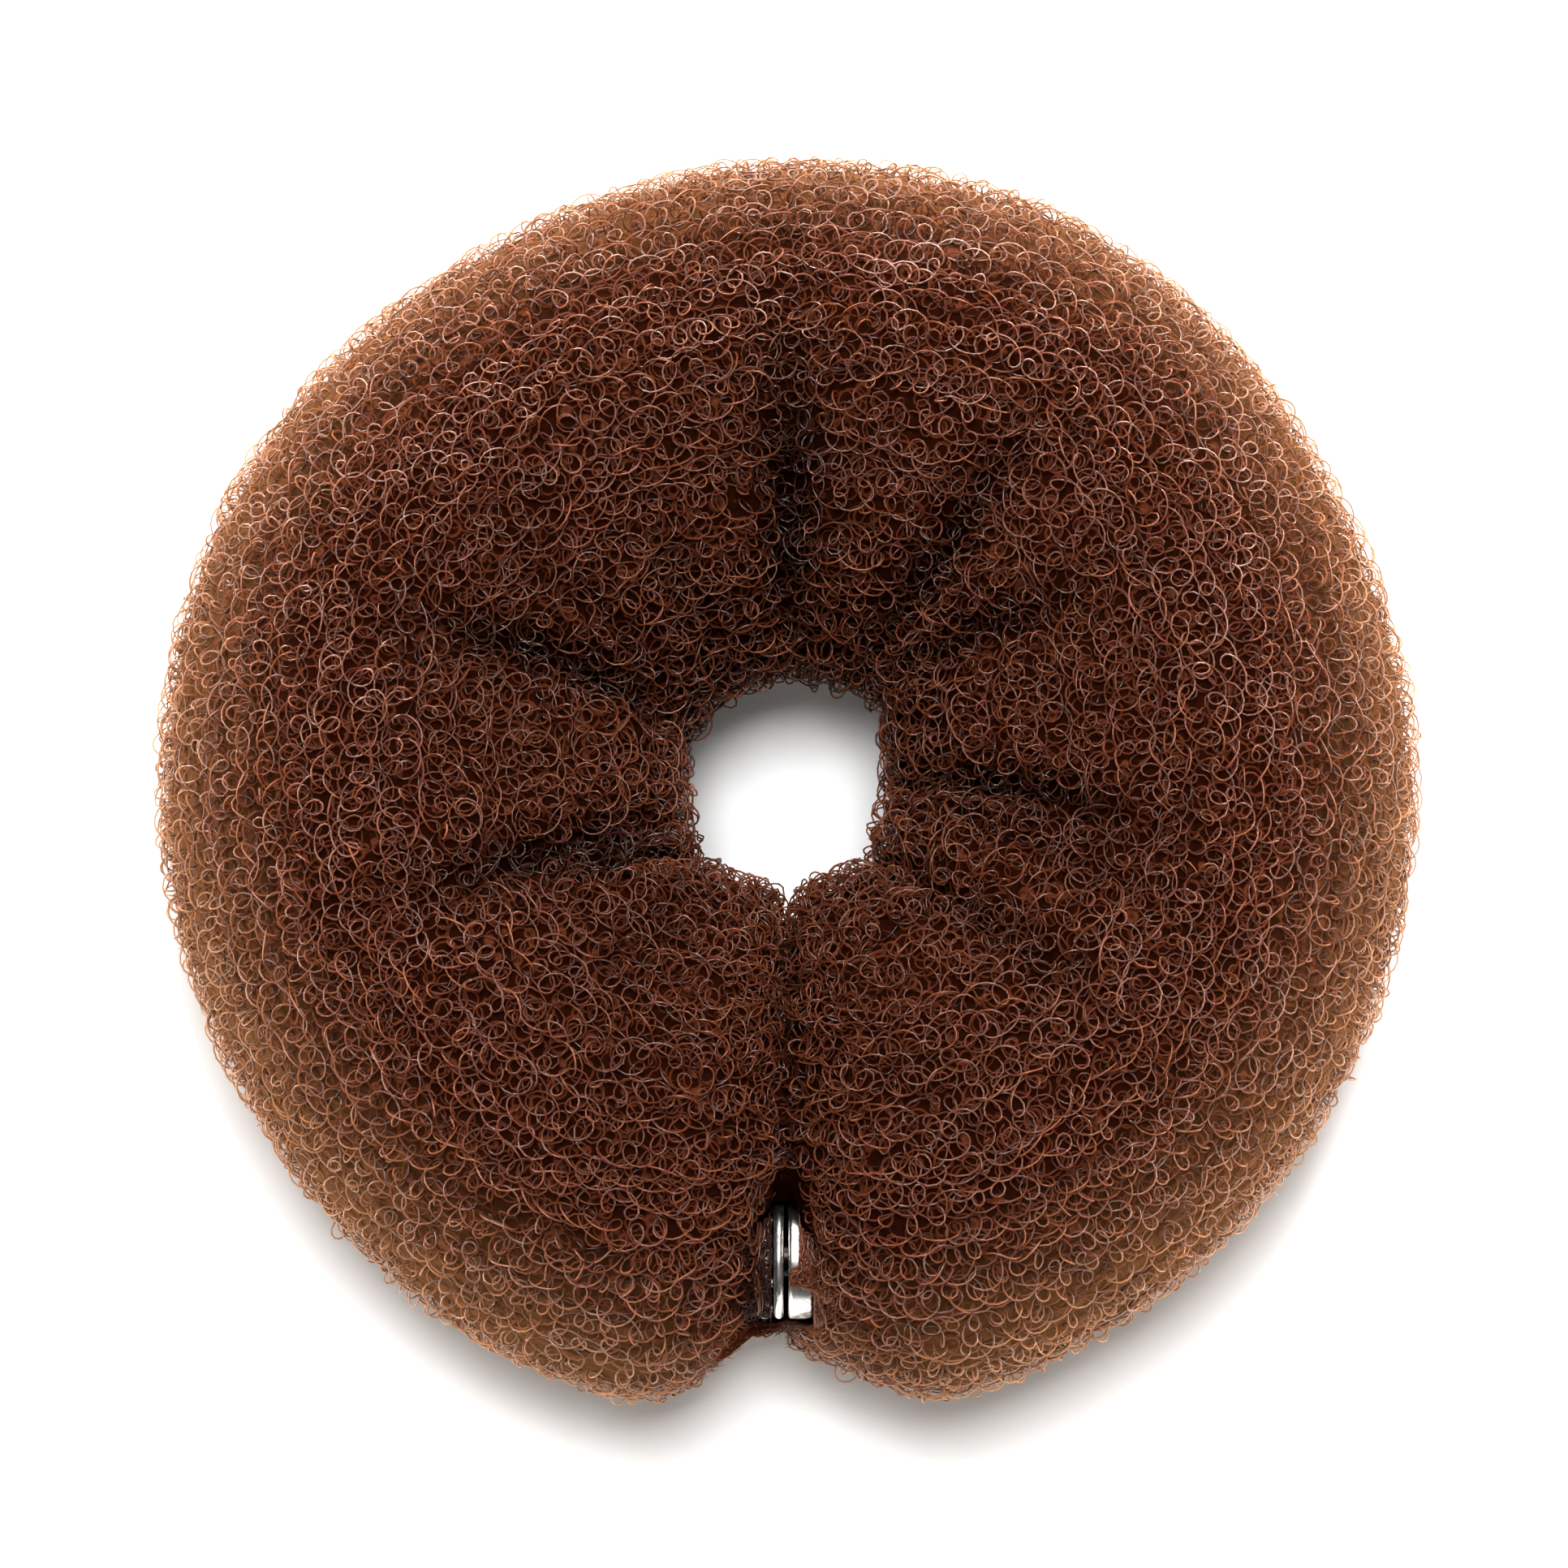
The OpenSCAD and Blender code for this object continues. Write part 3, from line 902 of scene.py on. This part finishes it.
def core_material():
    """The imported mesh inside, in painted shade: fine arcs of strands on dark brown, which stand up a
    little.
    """
    mat, nodes, links, bsdf = new_material("mesh_core")
    arcs = distance_to_arcs(nodes, links)
    colours = ramp(nodes, [(0.0, CORE_ARC), (CORE_ARC_WIDTH, CORE_DEEP_SHADE)])
    links.new(arcs, colours.inputs["Fac"])
    # Painted rim light on the outer flank.
    shaded = mix(nodes, links, attribute(nodes, "flank"), colours.outputs["Color"], CORE_RIM_LIGHT)
    # Painted shade in creases, along the seam and round the snap.
    shaded = mix(nodes, links, attribute(nodes, "crease"), shaded, CORE_CREASE_SHADE)
    links.new(shaded, bsdf.inputs["Base Color"])
    bump = nodes.new("ShaderNodeBump")
    bump.invert = True
    bump.inputs["Strength"].default_value = CORE_BUMP_STRENGTH
    bump.inputs["Distance"].default_value = CORE_BUMP_DISTANCE
    links.new(arcs, bump.inputs["Height"])
    links.new(bump.outputs["Normal"], bsdf.inputs["Normal"])
    bsdf.inputs["Roughness"].default_value = 1.0
    bsdf.inputs["Specular IOR Level"].default_value = 0.0
    return mat


def scaled(nodes, links, value, from_range, to_range, clamp):
    """A value carried over from one range to another."""
    node = nodes.new("ShaderNodeMapRange")
    node.inputs["From Min"].default_value, node.inputs["From Max"].default_value = from_range
    node.inputs["To Min"].default_value, node.inputs["To Max"].default_value = to_range
    node.clamp = clamp
    links.new(value, node.inputs["Value"])
    return node.outputs["Result"]


def metal_material(name, colour, roughness):
    """Nickel with a slightly uneven polish, painted dark as shade in the narrow gap between the snap's
    halves.
    """
    mat, nodes, links, bsdf = new_material(name)
    bsdf.inputs["Metallic"].default_value = 1.0
    where = place_in_object(nodes)
    split = nodes.new("ShaderNodeSeparateXYZ")
    links.new(where, split.inputs[0])
    across = scaled(nodes, links, split.outputs["X"], (-SNAP_GAP, 0), (-1, 1), clamp=False)
    off_middle = calculate(nodes, links, "ABSOLUTE", across)
    colours = ramp(nodes, [(GAP_EDGE, GAP_SHADE), (1.0, colour)])
    shrunk = calculate(nodes, links, "DIVIDE", off_middle, GAP_SPREAD)
    links.new(shrunk, colours.inputs["Fac"])
    links.new(colours.outputs["Color"], bsdf.inputs["Base Color"])
    noise = nodes.new("ShaderNodeTexNoise")
    noise.inputs["Scale"].default_value = POLISH_NOISE_SCALE
    links.new(where, noise.inputs["Vector"])
    polish = [roughness * share for share in POLISH]
    uneven = scaled(nodes, links, noise.outputs["Fac"], (0, 1), polish, clamp=True)
    links.new(uneven, bsdf.inputs["Roughness"])
    return mat


def ring_strands(form, layer, snap, rng):
    """A layer's rows round the ring, pressed out of the slot and drawn over the snap's rings."""
    strands = []
    for row in range(layer["rows"]):
        path, outward, shade = loop_strand(form, layer, (row + 0.5) / layer["rows"], rng)
        side = np.where(np.arange(len(path)) < len(path) / 2, 1, -1)
        path = snap.drape(snap.squeeze(path, side))
        # Painted shade in the pocket beside the stud.
        shade[:, 0] = np.maximum(shade[:, 0], snap.pocket(path))
        strands.append((path, outward, shade, layer))
    return strands


def collar_strands(snap, places, rng):
    """Strands pinched round the snap's axis, at evenly spaced places in x."""
    collar = Collar(snap)
    strands = []
    for place in np.linspace(*places):
        path, outward, shade = loop_strand(collar, COLLAR, place, rng)
        strands.append((snap.clear(path, place), outward, shade, COLLAR))
    return strands


def hanging_strands(rng):
    """Single loops that hang into the notch."""
    strands = []
    angle = np.linspace(0, 2 * math.pi, HANGING_POINTS + 1)[:, None]
    level = ((1, 0, 0), (0, 1, 0))
    for x, out, z, radius in HANGING * MM:
        first, second = unit(rng.normal(0, 1, (2, 3)) * HANGING_TIP + level)
        path = np.array([x, -out, z]) + (first * np.cos(angle) + second * np.sin(angle)) * radius
        outward = np.tile(np.cross(first, second), (len(path), 1))
        strands.append((path, outward, np.tile(HANGING_SHADE, (len(path), 1)), COLLAR))
    return strands


def add_layer(name, strands, snap, material):
    """Joins a layer's strands into as few pieces as PIECE_TRIANGLES allows."""
    pieces = [[]]
    count = 0
    for path, outward, shade, layer in strands:
        places, faces = tube(path, outward, wire_radius(path, layer["wire"], snap), layer["columns"])
        shade = np.repeat(shade, len(layer["columns"]), axis=0)
        if count + len(faces) > PIECE_TRIANGLES:
            pieces.append([])
            count = 0
        pieces[-1].append((places, faces, shade))
        count += len(faces)
    for number, joined in enumerate(pieces):
        add_strands(f"{name}_{number + 1}", joined, material)


def add_strands(name, strands, material):
    """Joins strands into one piece, without the points that no triangle uses."""
    firsts = np.cumsum([0] + [len(places) for places, _, _ in strands])
    places = np.concatenate([places for places, _, _ in strands])
    faces = np.concatenate([faces + first for (_, faces, _), first in zip(strands, firsts)])
    shade = np.concatenate([shade for _, _, shade in strands])
    used, renumbered = np.unique(faces, return_inverse=True)
    piece = add_mesh(name, places[used], renumbered.reshape(-1, 3))
    add_shade(piece, shade[used])
    piece.data.materials.append(material)
    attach(piece, "root")


def make_strands(form, snap):
    rng = np.random.default_rng(SEED)
    for layer in LAYERS:
        strands = ring_strands(form, layer, snap, rng)
        strands += collar_strands(snap, layer["collars"], rng)
        if layer["hanging"]:
            strands += hanging_strands(rng)
        add_layer(layer["name"], strands, snap, strand_material(**layer["look"]))


def finish_snap(nodes):
    """Gives each piece of the snap its nickel finish."""
    metals = {name: metal_material(name, *look) for name, look in NICKEL.items()}
    for name, metal in SNAP_FINISHES.items():
        materials = nodes[name].data.materials
        materials.clear()
        materials.append(metals[metal])


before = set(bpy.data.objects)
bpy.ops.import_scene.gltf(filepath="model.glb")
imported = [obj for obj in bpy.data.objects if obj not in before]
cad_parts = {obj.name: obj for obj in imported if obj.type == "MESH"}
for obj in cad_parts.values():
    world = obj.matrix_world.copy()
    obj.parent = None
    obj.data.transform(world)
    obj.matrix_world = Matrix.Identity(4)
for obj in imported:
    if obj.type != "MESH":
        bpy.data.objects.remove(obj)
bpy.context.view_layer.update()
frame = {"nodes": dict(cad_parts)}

_, roll_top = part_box("mesh_roll")
make_camera(roll_top.z)
make_studio()

form = RollForm(frame["nodes"]["mesh_roll"])
snap = SnapPlace()
core = make_core(form)
snap.cut(core)
snap.paint_snap_shade(core)
core.data.materials.append(core_material())
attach(core, "root")
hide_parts("mesh_roll")

make_strands(form, snap)
finish_snap(frame["nodes"])
